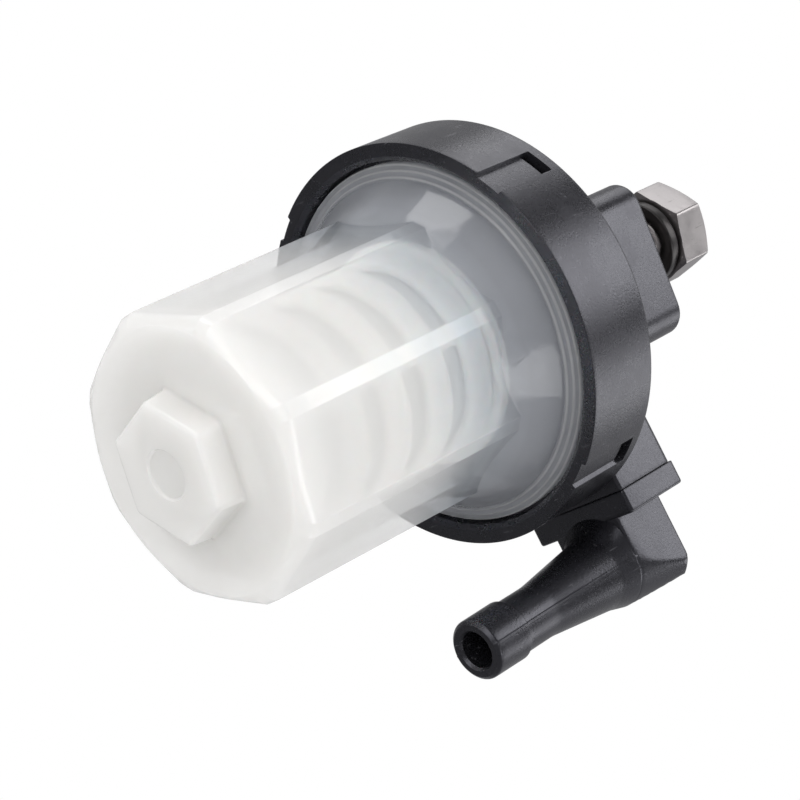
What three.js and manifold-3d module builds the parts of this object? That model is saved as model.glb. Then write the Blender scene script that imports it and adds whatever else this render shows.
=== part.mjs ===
// Cup-type fuel filter, in millimetres.
// +Z is up along the filter's axis: the cup hangs towards -Z and the mounting stud stands up.
// z = 0 is the flat top of the mounting boss. +X is the arm that carries the hose elbow.
// +Y is the straight hose port.
import * as THREE from "three";
import { mergeVertices } from "three/addons/utils/BufferGeometryUtils.js";
import Module from "manifold-3d";

const wasm = await Module();
wasm.setup();
const { Manifold, Mesh: ManifoldMesh } = wasm;

// ---------- driving dimensions ----------
const GAP = 0.3; // between nested or touching pieces
const WALL = 1.9; // cup wall

// head
const SKIRT_R = 28;
const SKIRT_FRONT = -40;
const SKIRT_REAR = -27.8;
const LIP_R = 25.5;
const LIP_FLOOR = -36.8;
const THREAD_BORE_R = 24.6;
const ROOF_UNDER = -28.6;
const CHANNEL_ANGLE = -32; // first of four grip channels
const CHANNEL_WIDTH = 4;
const CHANNEL_DEPTH = 0.55;
const POCKET_LENGTH = 1.2; // blind window at the rear end of each channel
const REAR_RIM = 2;
const BOSS_BACK = -9.2;
const BOSS_FRONT = 13.4;
const BOSS_HALF_BACK = 11;
const BOSS_HALF_FRONT = 8.2;
const BOSS_CORNER = 3.8;
const ARM_HALF = 9.3;
const ARM_LOW = -28.7;
const ARM_HIGH = -17.1;
const ARM_END = 28.55;
const PASSAGE_R = 2.6;
const PASSAGE_Z = -22.9;
const INLET_DROP_X = 18;
const SOCKET_R = 4.8; // takes the plug of a hose fitting
const PLUG_R = 4.5;
const PLUG_LENGTH = 5;
const GROOVE_R = 3.25;
const PORT_SEAL_WIRE = 0.55;
const SPIGOT_R = 4.6;
const SPIGOT_END = -42;

// elbow fitting on the arm
const FLANGE_T = 3.05;
const BLOCK_HALF = 6.2;
const BLOCK_HIGH = -19;
const BLOCK_END = 43.5;
const BARB_X = 37.6;
const BARB_TIP = -56.3;
const BARB_R = 3.8;
const BARB_LIP_R = 4.2;
const BARB_LIP = 6.8;
const BARB_BORE_R = 2.5;

// straight port
const PORT_Z = -20;
const PORT_BOSS_R = 7;
const PORT_FACE = 27.4;
const PORT_TIP = 44;

// cup
const CUP_PHASE = -0.5;
const CUP_BOTTOM = -83.3;
const CUP_FOOT_R = 2;
const CUP_CORNER_R = 19.75;
const CUP_CORNER_R_TOP = 20.35;
const CUP_SHOULDER = -43.6;
const RIM_R = 25;
const RIM_FRONT = -39.06;
const RIM_REAR = -37.1;
const NECK_R = 24.3;
const NECK_BORE_R = 20.8;
const NECK_TOP = -31.9;
const HEX_SIDE = 9.3;
const HEX_PHASE = 14.6;
const HEX_BOTTOM = -87.2;
const SEAL_D = 2.6;
const SEAL_R = 22.6;

// element
const CAP_R = 15.4;
const CAGE_R = 14.2;
const CAGE_T = 1.3;
const MESH_T = 0.5;
const CAGE_TOP = -43.3;
const CAGE_BOTTOM = -78.4;
const WINDOW_ROWS = 4;
const WINDOW_H = 3.4;
const RIB_W = 3;
const RIB_COUNT = 4;

// mounting stud and nut
const STUD_R = 3.95;
const STUD_TOP = 17.5;
const STUD_FOOT = -14;
const ANCHOR_AF = 12;
const NUT_AF = 13;
const NUT_LOW = 9.5;
const NUT_H = 6.5;
const NUT_PHASE = 19.2;
const MOUNT_WASHER_R = 8;
const MOUNT_WASHER_T = 1.6;
const WASHER_R = 6.35; // split lock washer
const WASHER_T = 2;

// ---------- geometry helpers ----------
const rad = THREE.MathUtils.degToRad;

// closed solid from a three.js geometry
function solid(geometry) {
  const plain = new THREE.BufferGeometry();
  plain.setAttribute("position", geometry.getAttribute("position").clone());
  if (geometry.index) plain.setIndex(geometry.index.clone());
  const merged = mergeVertices(plain, 1e-4);
  const index = merged.index.array;
  const kept = [];
  for (let i = 0; i < index.length; i += 3) {
    const [a, b, c] = [index[i], index[i + 1], index[i + 2]];
    if (a !== b && b !== c && a !== c) kept.push(a, b, c);
  }
  const vertProperties = new Float32Array(merged.getAttribute("position").array);
  return new Manifold(new ManifoldMesh({ numProp: 3, vertProperties, triVerts: new Uint32Array(kept) }));
}

// three.js geometry from a closed solid
function geometryOf(body) {
  const mesh = body.getMesh();
  const geometry = new THREE.BufferGeometry();
  const xyz = new Float32Array(mesh.numVert * 3);
  for (let v = 0; v < mesh.numVert; v++) {
    for (let k = 0; k < 3; k++) xyz[3 * v + k] = mesh.vertProperties[v * mesh.numProp + k];
  }
  geometry.setAttribute("position", new THREE.BufferAttribute(xyz, 3));
  geometry.setIndex([...mesh.triVerts]);
  geometry.computeVertexNormals();
  return geometry;
}

// body of revolution about Z from [radius, z] corners; a hollow one closes on itself
function turned(profile, segments = 48) {
  const onAxis = profile[0][0] === 0;
  const corners = profile.map(([r, z]) => new THREE.Vector2(r, z));
  if (!onAxis) corners.push(corners[0].clone());
  const geometry = new THREE.LatheGeometry(corners, segments);
  geometry.rotateX(Math.PI / 2);
  const body = solid(geometry);
  return body.volume() < 0 ? solid(flipped(geometry)) : body;
}

function flipped(geometry) {
  const copy = geometry.clone();
  const index = copy.index.array;
  for (let i = 0; i < index.length; i += 3) {
    [index[i], index[i + 1]] = [index[i + 1], index[i]];
  }
  return copy;
}

function tube(outer, inner, low, high, segments = 40) {
  return turned([[inner, low], [outer, low], [outer, high], [inner, high]], segments);
}

function rod(radius, low, high, segments = 32) {
  return turned([[0, low], [radius, low], [radius, high], [0, high]], segments);
}

function ring(meanR, wireR, z, segments = 40) {
  const geometry = new THREE.TorusGeometry(meanR, wireR, 10, segments);
  geometry.translate(0, 0, z);
  return solid(geometry);
}

function box(x0, x1, y0, y1, z0, z1) {
  const geometry = new THREE.BoxGeometry(x1 - x0, y1 - y0, z1 - z0);
  geometry.translate((x0 + x1) / 2, (y0 + y1) / 2, (z0 + z1) / 2);
  return solid(geometry);
}

// rod turned so that its axis runs along +X or +Y
function alongX(body) {
  return body.rotate([0, 90, 0]);
}

function alongY(body) {
  return body.rotate([-90, 0, 0]);
}

// outline with every corner rounded; corners run anticlockwise
function rounded(corners, radius, steps = 4) {
  const points = [];
  corners.forEach((corner, i) => {
    const here = new THREE.Vector2(...corner);
    const before = new THREE.Vector2(...corners[(i + corners.length - 1) % corners.length]);
    const after = new THREE.Vector2(...corners[(i + 1) % corners.length]);
    const a = before.sub(here).normalize();
    const b = after.sub(here).normalize();
    const half = Math.acos(THREE.MathUtils.clamp(a.dot(b), -1, 1)) / 2;
    const centre = a.clone().add(b).normalize().multiplyScalar(radius / Math.sin(half)).add(here);
    const start = here.clone().addScaledVector(a, radius / Math.tan(half)).sub(centre).angle();
    const sweep = Math.PI - 2 * half;
    for (let s = 0; s <= steps; s++) {
      const angle = start + (sweep * s) / steps;
      points.push([centre.x + radius * Math.cos(angle), centre.y + radius * Math.sin(angle)]);
    }
  });
  return points;
}

function polygon(sides, cornerR, phase) {
  return Array.from({ length: sides }, (_, k) => {
    const angle = rad(phase + (360 / sides) * k);
    return [cornerR * Math.cos(angle), cornerR * Math.sin(angle)];
  });
}

// solid skinned over outlines of equal length stacked along Z: [[outline, z], ...]
function stacked(levels) {
  const count = levels[0][0].length;
  const xyz = [];
  const index = [];
  for (const [outline, z] of levels) outline.forEach(([x, y]) => xyz.push(x, y, z));
  for (let level = 0; level < levels.length - 1; level++) {
    for (let i = 0; i < count; i++) {
      const a = level * count + i;
      const b = level * count + ((i + 1) % count);
      index.push(a, b, b + count, a, b + count, a + count);
    }
  }
  const last = (levels.length - 1) * count;
  const flat = levels[0][0].map(([x, y]) => new THREE.Vector2(x, y));
  for (const [a, b, c] of THREE.ShapeUtils.triangulateShape(flat, [])) {
    index.push(a, c, b, last + a, last + b, last + c);
  }
  const geometry = new THREE.BufferGeometry();
  geometry.setAttribute("position", new THREE.Float32BufferAttribute(xyz, 3));
  geometry.setIndex(index);
  return solid(geometry);
}

function hexPrism(acrossFlats, phase, low, high) {
  const outline = polygon(6, acrossFlats / Math.sqrt(3), phase);
  return stacked([[outline, low], [outline, high]]);
}

// ---------- head ----------
function bossOutline(inset) {
  return rounded([
    [BOSS_BACK + inset, -BOSS_HALF_BACK + inset],
    [BOSS_FRONT - inset, -BOSS_HALF_FRONT + inset],
    [BOSS_FRONT - inset, BOSS_HALF_FRONT - inset],
    [BOSS_BACK + inset, BOSS_HALF_BACK - inset],
  ], BOSS_CORNER - inset);
}

function armOutline(inset) {
  const left = -6;
  return [
    [left, -ARM_HALF + inset],
    [ARM_END, -ARM_HALF + inset],
    [ARM_END, ARM_HALF - inset],
    [left, ARM_HALF - inset],
  ];
}

function makeHead() {
  const shell = turned([
    [0, ROOF_UNDER],
    [THREAD_BORE_R, ROOF_UNDER],
    [THREAD_BORE_R, LIP_FLOOR],
    [LIP_R, LIP_FLOOR],
    [LIP_R, SKIRT_FRONT + 0.7],
    [LIP_R + 0.7, SKIRT_FRONT],
    [SKIRT_R - 0.3, SKIRT_FRONT],
    [SKIRT_R, SKIRT_FRONT + 0.3],
    [SKIRT_R, SKIRT_REAR - 0.4],
    [SKIRT_R - 0.4, SKIRT_REAR],
    [26.2, SKIRT_REAR],
    [25, -26.2],
    [23, -25],
    [14, -21.5],
    [0, -21.5],
  ], 64);
  const boss = stacked([[bossOutline(0), -24], [bossOutline(0), -0.6], [bossOutline(0.6), 0]]);
  const arm = stacked([[armOutline(0), ARM_LOW], [armOutline(0), ARM_HIGH - 1.2], [armOutline(0.4), ARM_HIGH - 0.3],
    [armOutline(1.2), ARM_HIGH]]);
  const port = alongY(rod(PORT_BOSS_R, 0, PORT_FACE)).translate([0, 0, PORT_Z]);
  const spigot = rod(SPIGOT_R, SPIGOT_END, ROOF_UNDER + 1);
  let head = shell.add(boss).add(arm).add(port).add(spigot);

  for (let k = 0; k < 4; k++) {
    const channel = box(SKIRT_R - CHANNEL_DEPTH, SKIRT_R + 1, -CHANNEL_WIDTH / 2, CHANNEL_WIDTH / 2,
      SKIRT_FRONT - 1, SKIRT_REAR - REAR_RIM);
    const pocket = box(25.6, SKIRT_R + 1, -CHANNEL_WIDTH / 2, CHANNEL_WIDTH / 2,
      SKIRT_REAR - REAR_RIM - POCKET_LENGTH, SKIRT_REAR - REAR_RIM);
    head = head.subtract(channel.add(pocket).rotate([0, 0, CHANNEL_ANGLE + 90 * k]));
  }

  const inlet = alongX(rod(PASSAGE_R, INLET_DROP_X - 1, ARM_END)).translate([0, 0, PASSAGE_Z])
    .add(alongX(rod(SOCKET_R, ARM_END - PLUG_LENGTH, ARM_END + 1)).translate([0, 0, PASSAGE_Z]))
    .add(rod(PASSAGE_R, ROOF_UNDER - 1, PASSAGE_Z).translate([INLET_DROP_X, 0, 0]));
  const outlet = alongY(rod(PASSAGE_R, -1, PORT_FACE)).translate([0, 0, PORT_Z])
    .add(alongY(rod(SOCKET_R, PORT_FACE - PLUG_LENGTH, PORT_FACE + 1)).translate([0, 0, PORT_Z]))
    .add(rod(PASSAGE_R, SPIGOT_END - 1, PORT_Z));
  const studSeat = rod(STUD_R + GAP, STUD_FOOT - GAP, 1)
    .add(hexPrism(ANCHOR_AF + 2 * GAP, 0, STUD_FOOT + 1 - GAP, STUD_FOOT + 5 + GAP));
  return head.subtract(inlet).subtract(outlet).subtract(studSeat);
}

// ---------- hose fittings ----------
// hose barb pointing to -Z with its lip at the tip
function barb(root, rootR, tip) {
  return turned([
    [0, tip],
    [BARB_LIP_R - 0.5, tip],
    [BARB_LIP_R - 0.1, tip + 0.5],
    [BARB_LIP_R, tip + BARB_LIP - 0.3],
    [BARB_R, tip + BARB_LIP],
    [BARB_R, tip + BARB_LIP + 6],
    [rootR, root],
    [0, root],
  ], 32);
}

// plug of a hose fitting, along +Z, with a groove for its sealing ring; its shoulder is at z = 0
function plugOf() {
  const end = GAP - PLUG_LENGTH + GAP;
  const middle = end / 2 - 0.2;
  return turned([
    [0, end],
    [PLUG_R - 0.4, end],
    [PLUG_R, end + 0.4],
    [PLUG_R, middle - 0.8],
    [GROOVE_R, middle - 0.8],
    [GROOVE_R, middle + 0.8],
    [PLUG_R, middle + 0.8],
    [PLUG_R, 1],
    [0, 1],
  ]);
}

function plugSeal() {
  return ring(4, PORT_SEAL_WIRE, (2 * GAP - PLUG_LENGTH) / 2 - 0.2, 28);
}

function makeElbow() {
  const start = ARM_END + GAP;
  const end = start + FLANGE_T;
  const flange = box(start, end, -ARM_HALF - 0.1, ARM_HALF + 0.1, ARM_LOW, ARM_HIGH + 0.3);
  const block = box(end - 1, BLOCK_END, -BLOCK_HALF, BLOCK_HALF, ARM_LOW + 0.1, BLOCK_HIGH);
  const nose = turned([
    [0, ARM_LOW],
    [6, ARM_LOW],
    [7.5, BLOCK_HIGH - 0.8],
    [6.9, BLOCK_HIGH],
    [0, BLOCK_HIGH],
  ], 32).translate([BARB_X, 0, 0]);
  const web = box(end - 1, BARB_X, -BLOCK_HALF, BLOCK_HALF, ARM_LOW + 0.1, BLOCK_HIGH);
  const body = block.intersect(nose.add(web));
  const stem = barb(ARM_LOW + 0.6, 5.6, BARB_TIP).translate([BARB_X, 0, 0]);
  const plug = alongX(plugOf()).translate([start, 0, PASSAGE_Z]);
  const bore = alongX(rod(BARB_BORE_R, ARM_END - 6, BARB_X + BARB_BORE_R)).translate([0, 0, PASSAGE_Z])
    .add(rod(BARB_BORE_R, BARB_TIP - 1, PASSAGE_Z).translate([BARB_X, 0, 0]));
  return flange.add(body).add(stem).add(plug).subtract(bore);
}

function makeOutlet() {
  const collar = rod(PORT_BOSS_R - 0.6, PORT_FACE + GAP, PORT_FACE + GAP + 2.2);
  const plug = plugOf().translate([0, 0, PORT_FACE + GAP]);
  const stem = barb(-PORT_FACE - 1.5, BARB_R + 0.4, -PORT_TIP).rotate([180, 0, 0]);
  const bore = rod(BARB_BORE_R, PORT_FACE - 7, PORT_TIP + 1);
  return alongY(collar.add(plug).add(stem).subtract(bore)).translate([0, 0, PORT_Z]);
}

// ---------- cup ----------
function octagon(cornerR, radius) {
  return rounded(polygon(8, cornerR, CUP_PHASE), radius, 3);
}

function makeCup() {
  const at = (z) => THREE.MathUtils.mapLinear(z, CUP_BOTTOM, CUP_SHOULDER, CUP_CORNER_R, CUP_CORNER_R_TOP);
  const foot = [0, 30, 60, 90].map((angle) => {
    const inset = CUP_FOOT_R * (1 - Math.sin(rad(angle)));
    return [octagon(at(CUP_BOTTOM) - inset, 2.4), CUP_BOTTOM + CUP_FOOT_R * (1 - Math.cos(rad(angle)))];
  });
  const body = stacked([...foot, [octagon(at(CUP_SHOULDER + 2), 2.4), CUP_SHOULDER + 2]]);
  const hex = (side) => rounded(polygon(6, side, HEX_PHASE), 0.8, 2);
  const foothex = stacked([[hex(HEX_SIDE - 0.7), HEX_BOTTOM], [hex(HEX_SIDE), HEX_BOTTOM + 0.7],
    [hex(HEX_SIDE + 0.3), CUP_BOTTOM + 1]]);
  const shoulder = turned([
    [0, -48],
    [17.7, -48],
    [20.35, -44.1],
    [22.9, -39.9],
    [23.3, -39.6],
    [24.1, -39.5],
    [24.2, -39.2],
    [RIM_R - 0.3, RIM_FRONT - 0.1],
    [RIM_R, RIM_FRONT + 0.2],
    [RIM_R, RIM_REAR],
    [NECK_R, RIM_REAR],
    [NECK_R, NECK_TOP + 0.4],
    [NECK_R - 0.4, NECK_TOP],
    [0, NECK_TOP],
  ], 64);
  const inside = stacked([
    [octagon(at(CUP_BOTTOM) - WALL - 1.4, 2.4), CUP_BOTTOM + 2.2],
    [octagon(at(CUP_BOTTOM) - WALL - 0.2, 2.4), CUP_BOTTOM + 3.6],
    [octagon(at(CUP_SHOULDER) - WALL - 0.2, 2.4), CUP_SHOULDER],
  ]);
  const throat = turned([
    [0, -46.5],
    [16.9, -46.5],
    [NECK_BORE_R, -39.2],
    [NECK_BORE_R, NECK_TOP + 1],
    [0, NECK_TOP + 1],
  ], 56);
  const well = rod(6.2, HEX_BOTTOM + 2.2, CUP_BOTTOM + 3);
  const dimple = rod(3.2, HEX_BOTTOM - 1, HEX_BOTTOM + 0.5);
  return body.add(foothex).add(shoulder).subtract(inside).subtract(throat).subtract(well).subtract(dimple);
}

// ---------- element ----------
function makeTopCap() {
  return turned([
    [SPIGOT_R + 0.4, CAGE_TOP + GAP],
    [CAP_R, CAGE_TOP + GAP],
    [CAP_R, CAGE_TOP + GAP + 1.4],
    [CAP_R - 0.6, CAGE_TOP + GAP + 2],
    [8.2, CAGE_TOP + GAP + 2],
    [8.2, -36],
    [7, -36],
    [7, -39.8],
    [SPIGOT_R + 0.4, -39.8],
  ], 48);
}

function makeBottomCap() {
  return turned([
    [0, CAGE_BOTTOM - GAP - 2],
    [CAP_R - 0.6, CAGE_BOTTOM - GAP - 2],
    [CAP_R, CAGE_BOTTOM - GAP - 1.4],
    [CAP_R, CAGE_BOTTOM - GAP],
    [0, CAGE_BOTTOM - GAP],
  ], 48);
}

function makeCage() {
  let cage = tube(CAGE_R, CAGE_R - CAGE_T, CAGE_BOTTOM, CAGE_TOP);
  let ribs = box(0, CAGE_R + 2, -RIB_W / 2, RIB_W / 2, CAGE_BOTTOM, CAGE_TOP);
  for (let k = 1; k < RIB_COUNT; k++) {
    const rib = box(0, CAGE_R + 2, -RIB_W / 2, RIB_W / 2, CAGE_BOTTOM, CAGE_TOP);
    ribs = ribs.add(rib.rotate([0, 0, (360 / RIB_COUNT) * k]));
  }
  const pitch = (CAGE_TOP - CAGE_BOTTOM + WINDOW_H) / (WINDOW_ROWS + 1);
  for (let row = 1; row <= WINDOW_ROWS; row++) {
    const low = CAGE_BOTTOM + row * pitch - WINDOW_H;
    const band = tube(CAGE_R + 1, CAGE_R - CAGE_T - 0.1, low, low + WINDOW_H);
    cage = cage.subtract(band.subtract(ribs));
  }
  return cage;
}

function makeMesh() {
  const outer = CAGE_R - CAGE_T - GAP;
  return tube(outer, outer - MESH_T, CAGE_BOTTOM, CAGE_TOP);
}

// ---------- stud, nut, washer ----------
function makeStud() {
  return turned([
    [0, STUD_FOOT],
    [STUD_R, STUD_FOOT],
    [STUD_R, STUD_TOP - 0.8],
    [STUD_R - 0.8, STUD_TOP],
    [0, STUD_TOP],
  ], 32).add(hexPrism(ANCHOR_AF, 0, STUD_FOOT + 1, STUD_FOOT + 5));
}

function makeNut() {
  const chamfer = turned([
    [0, NUT_LOW],
    [6.3, NUT_LOW],
    [7.6, NUT_LOW + 0.75],
    [7.6, NUT_LOW + NUT_H - 0.75],
    [6.3, NUT_LOW + NUT_H],
    [0, NUT_LOW + NUT_H],
  ], 48);
  return hexPrism(NUT_AF, NUT_PHASE, NUT_LOW, NUT_LOW + NUT_H).intersect(chamfer)
    .subtract(rod(STUD_R + 0.25, NUT_LOW - 1, NUT_LOW + NUT_H + 1));
}

function makeMountWasher() {
  return tube(MOUNT_WASHER_R, STUD_R + 0.35, GAP, GAP + MOUNT_WASHER_T);
}

function makeLockWasher() {
  const low = NUT_LOW - GAP - WASHER_T;
  const slot = box(3, 8, -0.5, 0.5, low - 1, low + WASHER_T + 1).rotate([0, 0, 160]);
  return tube(WASHER_R, STUD_R + 0.35, low, low + WASHER_T, 40).subtract(slot);
}

// ---------- assembly ----------
const black = new THREE.MeshStandardMaterial({ color: 0x1c1d20, roughness: 0.5 });
const milky = new THREE.MeshStandardMaterial({ color: 0xdfe4e2, roughness: 0.3 });
const white = new THREE.MeshStandardMaterial({ color: 0xf2f3ee, roughness: 0.5 });
const cloth = new THREE.MeshStandardMaterial({ color: 0xd9ddc8, roughness: 0.8 });
const rubber = new THREE.MeshStandardMaterial({ color: 0x17181a, roughness: 0.8 });
const steel = new THREE.MeshStandardMaterial({ color: 0xc4c2be, roughness: 0.3, metalness: 1 });

const pieces = [
  ["head_body", makeHead(), black],
  ["elbow_fitting", makeElbow(), black],
  ["outlet_fitting", makeOutlet(), black],
  ["elbow_seal", alongX(plugSeal()).translate([ARM_END + GAP, 0, PASSAGE_Z]), rubber],
  ["outlet_seal", alongY(plugSeal().translate([0, 0, PORT_FACE + GAP])).translate([0, 0, PORT_Z]), rubber],
  ["cup", makeCup(), milky],
  ["cup_seal", ring(SEAL_R, SEAL_D / 2, NECK_TOP + GAP + SEAL_D / 2), rubber],
  ["element_top_cap", makeTopCap(), white],
  ["element_cage", makeCage(), white],
  ["element_mesh", makeMesh(), cloth],
  ["element_bottom_cap", makeBottomCap(), white],
  ["element_seal", ring(SPIGOT_R + 1.2, 0.9, -38.6), rubber],
  ["mounting_stud", makeStud(), steel],
  ["mount_washer", makeMountWasher(), steel],
  ["lock_washer", makeLockWasher(), steel],
  ["mounting_nut", makeNut(), steel],
];

const filter = new THREE.Group();
filter.name = "fuel_filter";
for (const [name, body, material] of pieces) {
  const mesh = new THREE.Mesh(geometryOf(body), material);
  mesh.name = name;
  filter.add(mesh);
}

export default filter;
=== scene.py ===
"""Cup-type fuel filter: the detailed visual model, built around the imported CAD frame.

Shapes are in millimetres in the frame's own axes: +Z is up along the filter's axis, z = 0 is the flat
top of the mounting boss, +X is the arm with the hose elbow and +Y is the straight port. Materials, the
camera, the light panels and the floor are in metres.
"""

import math

import bmesh
import bpy
import numpy as np
from mathutils import Matrix, Vector


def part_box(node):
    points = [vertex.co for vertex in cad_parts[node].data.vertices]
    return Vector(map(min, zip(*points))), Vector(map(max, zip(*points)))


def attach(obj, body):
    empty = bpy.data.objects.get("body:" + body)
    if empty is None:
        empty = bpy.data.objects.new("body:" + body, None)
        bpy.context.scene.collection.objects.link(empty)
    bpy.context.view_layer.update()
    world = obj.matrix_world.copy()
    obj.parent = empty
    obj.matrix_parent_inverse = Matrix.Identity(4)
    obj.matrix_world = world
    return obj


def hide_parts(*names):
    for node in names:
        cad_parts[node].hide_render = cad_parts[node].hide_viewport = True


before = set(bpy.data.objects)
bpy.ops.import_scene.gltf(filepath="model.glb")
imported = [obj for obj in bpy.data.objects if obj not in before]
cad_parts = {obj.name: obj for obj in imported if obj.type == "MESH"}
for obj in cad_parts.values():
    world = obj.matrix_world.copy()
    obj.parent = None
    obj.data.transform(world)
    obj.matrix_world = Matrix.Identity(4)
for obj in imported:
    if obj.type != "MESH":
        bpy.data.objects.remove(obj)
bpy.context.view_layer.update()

MM = 0.001
TAU = 2 * math.pi


def reach(node, axis, side):
    """One face of a CAD node's box, in millimetres. side is 0 for its low face and 1 for its high face."""
    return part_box(node)[side][axis] / MM


# ---------- driving dimensions ----------
SPIGOT_BELOW_SKIRT = 2
SKIRT_FRONT = reach("head_body", 2, 0) + SPIGOT_BELOW_SKIRT
SKIRT_R = -reach("head_body", 0, 0)
SKIRT_REAR = -27.8
REAR_RIM = 2
ROOF_UNDER = -28.6
THREAD_BORE_R = 24.6
LIP_R = 25.5
LIP_FLOOR = -36.8
DOME_TOP = -21.5
CHANNEL_ANGLE = -32
CHANNEL_HALF = 2
CHANNEL_DEPTH = 0.55
POCKET_DEPTH = 2.4
POCKET_LENGTH = 1.2
CHANNEL_BLEND = 0.06  # half the width of a channel's rounded end
CUP_PITCH = 3
BORE_THREAD_DEPTH = 0.45
NECK_THREAD_DEPTH = 0.55

BOSS_BACK, BOSS_FRONT = -9.2, 13.4
BOSS_HALF_BACK, BOSS_HALF_FRONT = 11, 8.2
BOSS_CORNER = 3.8
ARM_HALF = 9.3
ARM_LOW, ARM_HIGH = -28.7, -17.1
ARM_END = 28.55
SOCKET_R = 4.8
PASSAGE_Z = -22.9
SPIGOT_R = 4.6
BORE_R = 2.5

ELBOW_LOW, ELBOW_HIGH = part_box("elbow_fitting")
FITTING_GAP = 0.3  # the shoulder of a fitting stands off the face of its socket
PLUG_SHOULDER = ARM_END + FITTING_GAP
FLANGE_START = ARM_END + 0.06
FLANGE_END = PLUG_SHOULDER + 3.05
FLANGE_HALF = ELBOW_HIGH[1] / MM
FLANGE_HIGH = ELBOW_HIGH[2] / MM
BLOCK_END = ELBOW_HIGH[0] / MM
BLOCK_HALF = 6.2
BLOCK_HIGH = -19
BARB_X = 37.6
BARB_TIP = ELBOW_LOW[2] / MM
BARB_R = 3.8
BARB_LIP_R = 4.2
BARB_LIP = 6.8

PORT_Z = -20
PORT_R = 7
PORT_FACE = 27.4
PORT_SHOULDER = PORT_FACE + FITTING_GAP
PORT_TIP = reach("outlet_fitting", 1, 1)

CUP_PHASE = -0.5
CUP_BOTTOM = -83.3
CUP_CORNER_R = 19.75
CUP_CORNER_R_TOP = 20.35
CUP_CORNER_FLAT = 2.0  # width of the narrow flat along every corner
CUP_END_R = 17.4  # crisp round edge of the closed end
CUP_WALL = 1.9
CUP_FOOT_R = 2
SHOULDER_Z = -43.6
RIM_LOW = -40.1
RIM_R = 25
# radii of the painted highlight lines along the rim's step edges
RIM_HIGHLIGHT_RADII = (23.3, 24.1, 24.85)
NECK_R = 24.3
THROAT_R = 20.8
THROAT_TOP = -39.2
NECK_TOP = reach("cup", 2, 1)
HEX_BOTTOM = reach("cup", 2, 0)
HEX_SIDE = 9.3
HEX_PHASE = 14.6

CAP_R = 15.4
CAGE_R = 14.2
CAGE_T = 1.3
CAGE_LOW = reach("element_cage", 2, 0)
CAGE_HIGH = reach("element_cage", 2, 1)
WINDOW_ROWS = 4
WINDOW_H = 3.4
RIB_W = 3
RIB_COUNT = 4
PLEAT = 0.12

STUD_R = 3.95
STUD_TOP = reach("mounting_stud", 2, 1)
STUD_PITCH = 1.25
NUT_LOW = reach("mounting_nut", 2, 0)
NUT_HIGH = reach("mounting_nut", 2, 1)
NUT_AF = 13
NUT_PHASE = 19.2


# ---------- outlines ----------
def rounded_line(corners, closed=False, step=15):
    """Points along a line of (a, b, radius) corners, each corner turned into an arc."""
    points = []
    count = len(corners)
    for i, (a, b, radius) in enumerate(corners):
        here = Vector((a, b))
        if radius == 0 or (not closed and i in (0, count - 1)):
            points.append(here)
            continue
        before = Vector(corners[i - 1][:2]) - here
        after = Vector(corners[(i + 1) % count][:2]) - here
        half = before.angle(after) / 2
        back = min(radius / math.tan(half), 0.49 * before.length, 0.49 * after.length)
        radius = back * math.tan(half)
        middle = (before.normalized() + after.normalized()).normalized()
        centre = here + middle * (radius / math.sin(half))
        start = here + before.normalized() * back - centre
        end = here + after.normalized() * back - centre
        sweep = start.angle(end)
        pieces = max(2, math.ceil(math.degrees(math.pi - 2 * half) / step))
        for k in range(pieces + 1):
            t = k / pieces
            arc = start * math.sin((1 - t) * sweep) + end * math.sin(t * sweep)
            points.append(centre + arc / math.sin(sweep))
    return [tuple(p) for p in points]


def refined(line, step):
    """The same line with no two neighbouring points more than step apart."""
    points = [line[0]]
    for a, b in zip(line, line[1:]):
        pieces = max(1, math.ceil(math.dist(a, b) / step - 1e-6))
        for k in range(1, pieces + 1):
            points.append(tuple(a[i] + (b[i] - a[i]) * k / pieces for i in (0, 1)))
    return points


def circle_angles(count):
    return np.linspace(0, TAU, count, endpoint=False)


def with_edges(angles, centres, offsets):
    """Angles with extra lines at every offset from every centre, all in radians, sorted and distinct."""
    extra = [(c + o) % TAU for c in centres for o in offsets]
    return np.unique(np.round(np.concatenate([np.asarray(angles) % TAU, extra]), 5))


def smooth(x):
    x = np.clip(x, 0, 1)
    return x * x * (3 - 2 * x)


def polygon_radius(angles, sides, corner_r, fillet, phase):
    """Radius of a polygon with rounded corners, for each angle in radians."""
    half = math.pi / sides
    turn = np.mod(angles - math.radians(phase) + half, 2 * half) - half
    turn = np.abs(turn)
    centre = corner_r - fillet / math.cos(half)
    flat = corner_r * math.cos(half) / np.cos(half - turn)
    arc = centre * np.cos(turn) + np.sqrt(np.maximum(fillet**2 - (centre * np.sin(turn)) ** 2, 0))
    edge = np.arctan2(fillet * math.sin(half), centre + fillet * math.cos(half))
    return np.where(turn < edge, arc, flat)


def thread(angles, z, pitch, depth, starts=1):
    """Depth of a rounded screw groove at each angle and height."""
    turn = np.mod(z / pitch - starts * angles / TAU, 1)
    return depth * smooth(2 * np.abs(turn - 0.5))


# ---------- skins ----------
def ring_row(angles, radius, z):
    radius = np.broadcast_to(radius, angles.shape)
    z = np.broadcast_to(z, angles.shape)
    return np.stack([radius * np.cos(angles), radius * np.sin(angles), z], axis=1)


def skin(rows, closed=False):
    """Skin over rings of points. A closed skin joins the last ring to the first; otherwise both ends are
    shut by a fan round the middle of the end ring."""
    rows = [np.asarray(row, float) for row in rows]
    count = len(rows[0])
    verts = np.concatenate(rows)
    faces = []
    last = len(rows) if closed else len(rows) - 1
    for level in range(last):
        low = level * count
        high = ((level + 1) % len(rows)) * count
        for i in range(count):
            j = (i + 1) % count
            faces.append((low + i, low + j, high + j, high + i))
    if not closed:
        for row, start in ((rows[0], 0), (rows[-1], (len(rows) - 1) * count)):
            middle = len(verts)
            verts = np.vstack([verts, row.mean(axis=0)])
            faces += [(start + i, start + (i + 1) % count, middle) for i in range(count)]
    return verts, faces


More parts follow.
